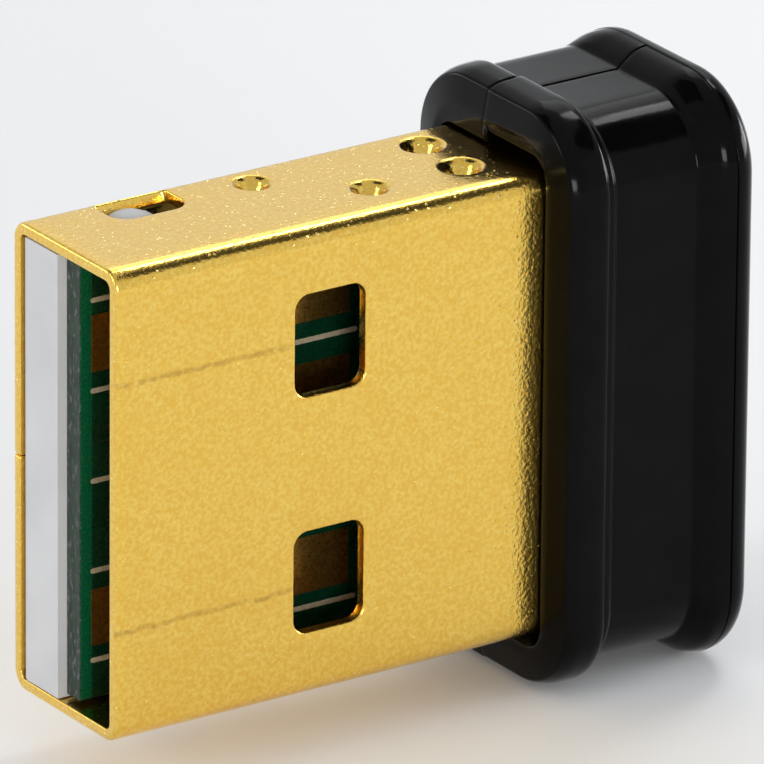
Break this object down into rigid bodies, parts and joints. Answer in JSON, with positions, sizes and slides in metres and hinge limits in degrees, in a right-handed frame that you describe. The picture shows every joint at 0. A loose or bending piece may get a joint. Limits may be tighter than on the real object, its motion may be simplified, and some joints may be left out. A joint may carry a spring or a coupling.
{
  "type": "usb wifi adapter",
  "caption": "Very small USB wireless network adapter: a gold-plated flat plug with windows and punched dimples, in a short glossy black cap with two rounded flanges and a waist.",
  "frame": {"origin": "centre of the plug's mouth", "axes": "+X from the mouth towards the cap, +Y through the thickness towards the wide face with the seam, +Z along the plug's 12 mm width"},
  "size_m": [0.0175, 0.0072, 0.0152],
  "materials": {
    "gold_plate": "matte gold plating over folded sheet",
    "carrier_plastic": "light grey moulded plastic",
    "board_laminate": "sawn glass-fibre laminate",
    "solder_mask": "green lacquer",
    "contact_gold": "gold-plated copper",
    "chip_plastic": "black moulding compound",
    "tinned": "tin plating",
    "crystal_ceramic": "dark ceramic",
    "crystal_metal": "plated lid",
    "capacitor_ceramic": "tan ceramic",
    "resistor_ceramic": "black-coated ceramic",
    "ferrite": "dark grey ferrite",
    "antenna_ceramic": "white ceramic",
    "cap_plastic": "glossy black moulding"
  },
  "bodies": {
    "root": {"plug_shell": "gold_plate", "board_carrier": "carrier_plastic", "board_core": "board_laminate", "solder_mask_contact_side": "solder_mask", "solder_mask_chip_side": "solder_mask", "contact_pads_outer": "contact_gold", "contact_pads_inner": "contact_gold", "radio_chip_body": "chip_plastic", "radio_chip_terminals": "tinned", "crystal_base": "crystal_ceramic", "crystal_lid": "crystal_metal", "capacitor_bodies": "capacitor_ceramic", "capacitor_ends": "tinned", "resistor_bodies": "resistor_ceramic", "resistor_ends": "tinned", "inductor_core": "ferrite", "inductor_ends": "tinned", "antenna_body": "antenna_ceramic", "antenna_ends": "tinned", "cap_near_half": "cap_plastic", "cap_far_half": "cap_plastic", "cap_end_piece": "cap_plastic"}
  },
  "joints": []
}
